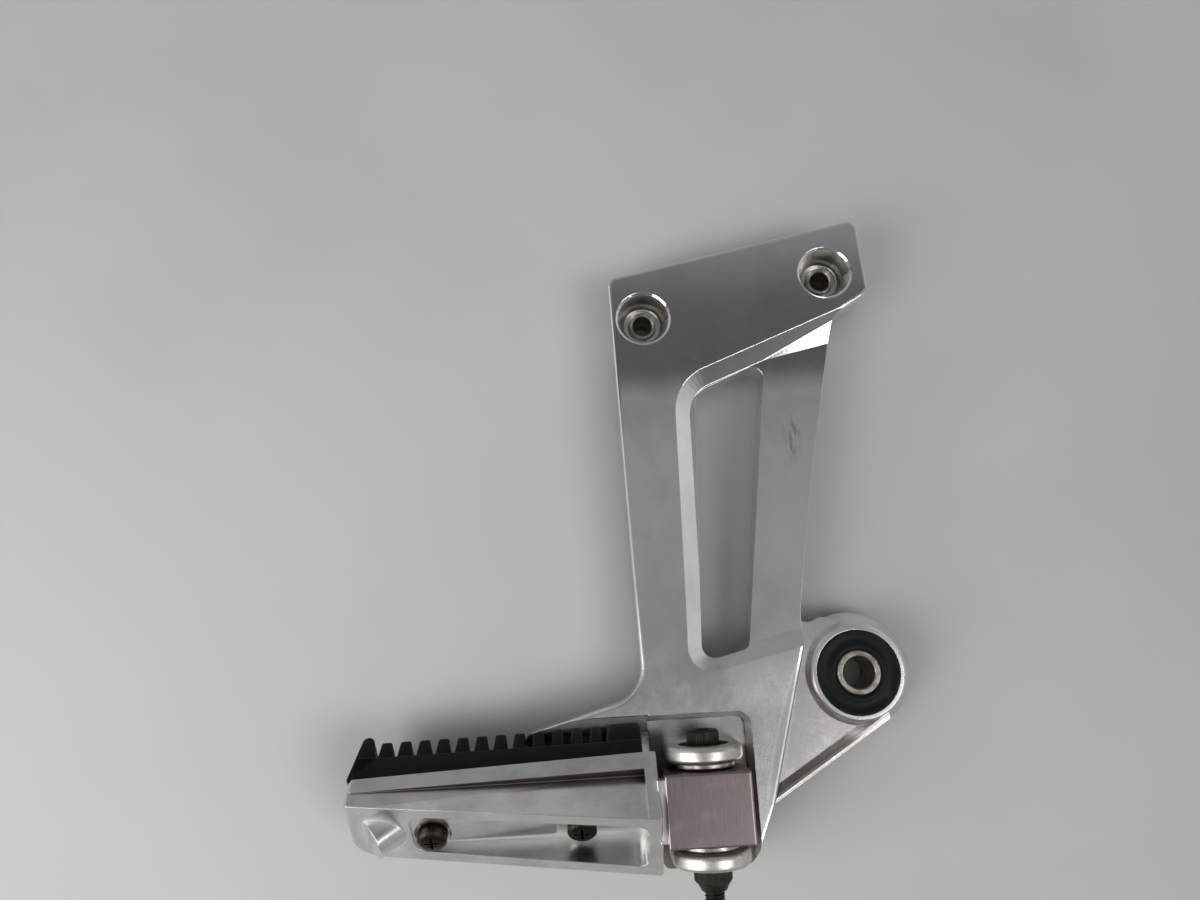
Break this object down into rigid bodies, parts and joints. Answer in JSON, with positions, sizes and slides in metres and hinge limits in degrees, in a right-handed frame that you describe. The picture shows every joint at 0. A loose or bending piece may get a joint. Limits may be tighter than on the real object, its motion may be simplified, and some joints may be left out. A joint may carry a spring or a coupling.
{
  "type": "motorcycle footpeg",
  "caption": "Polished cast hanger bracket with a folding passenger footpeg, ribbed tread rubber and a rubber damper ring.",
  "frame": {"origin": "axis of the left upper bolt hole, at the back face of its boss", "axes": "+Z out of the polished face along the bolt holes, +Y along the fold axis towards the upper bolts, +X towards the damper ring; the peg is folded along -X"},
  "size_m": [0.2382, 0.2857, 0.0611],
  "materials": {
    "polished_aluminium": "hand polished casting with fine scratches",
    "peg_aluminium": "brushed and polished casting, worn bright along its edges",
    "plated_steel": "zinc plated, lightly dulled",
    "worn_steel": "plain steel with grime in its edges",
    "dark_steel": "black oxide, worn to a brown tint",
    "tread_rubber": "moulded black rubber, satin",
    "damper_rubber": "moulded black rubber, slightly chalky"
  },
  "bodies": {
    "hanger": {"bracket": "polished_aluminium", "collar_left": "plated_steel", "collar_right": "plated_steel", "damper_rubber": "damper_rubber", "damper_sleeve": "plated_steel", "washer_upper": "worn_steel", "washer_lower": "worn_steel", "hub_collar": "plated_steel", "fold_bolt": "dark_steel", "fold_nut": "dark_steel"},
    "footpeg": {"peg": "peg_aluminium", "tread_rubber": "tread_rubber", "tread_insert": "plated_steel", "screw_inner": "dark_steel", "screw_outer": "dark_steel", "lock_washer_inner": "worn_steel", "lock_washer_outer": "worn_steel"}
  },
  "joints": [
    {"name": "peg_fold", "type": "hinge", "parent": "hanger", "child": "footpeg", "pos_m": [0.0112, -0.2072, 0.038], "axis": [0, 1, 0], "range_deg": [0, 90]}
  ]
}
